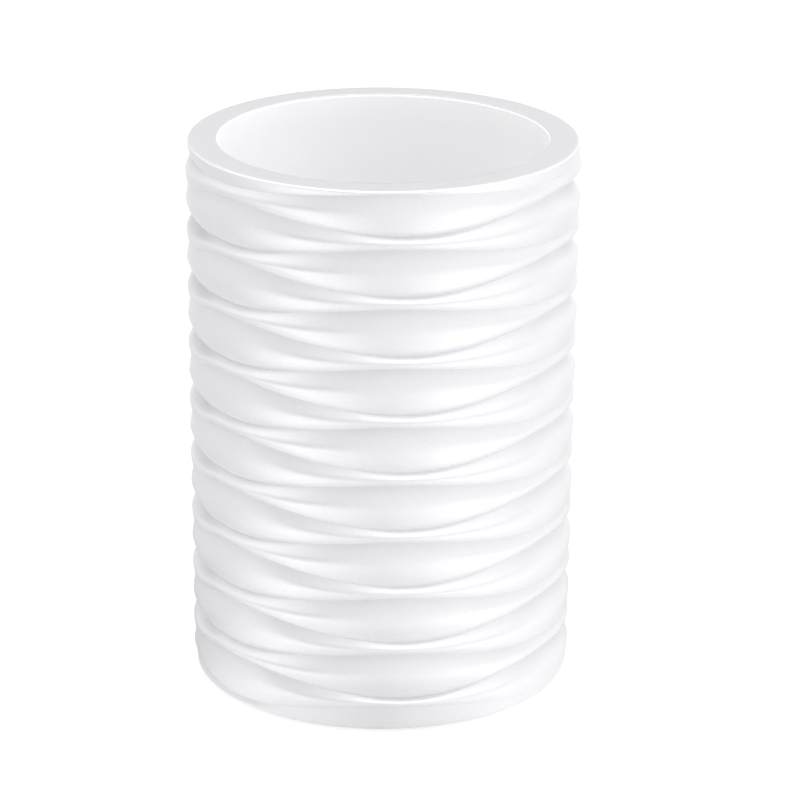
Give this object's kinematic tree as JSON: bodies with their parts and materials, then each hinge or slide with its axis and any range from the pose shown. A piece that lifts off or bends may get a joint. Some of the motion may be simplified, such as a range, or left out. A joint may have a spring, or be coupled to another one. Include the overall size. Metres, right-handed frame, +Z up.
{
  "type": "bathroom tumbler",
  "caption": "Free-standing bathroom tumbler of cast resin with a pearl-white wave-ribbed outside, a smooth white inner cup and a foam base pad",
  "frame": {"origin": "Centre of the face that the tumbler rests on", "axes": "+Z up along the axis of the cup to the mouth, -Y the side that faces the viewer, +X to the viewer's right"},
  "size_m": [0.076, 0.0759, 0.108],
  "materials": {
    "pearl_resin": "pearl lacquer over cast resin",
    "white_plastic": "smooth moulded, matt",
    "foam": "fine closed-cell foam"
  },
  "bodies": {
    "root": {"body": "pearl_resin", "inner_cup": "white_plastic", "base_pad": "foam"}
  },
  "joints": []
}
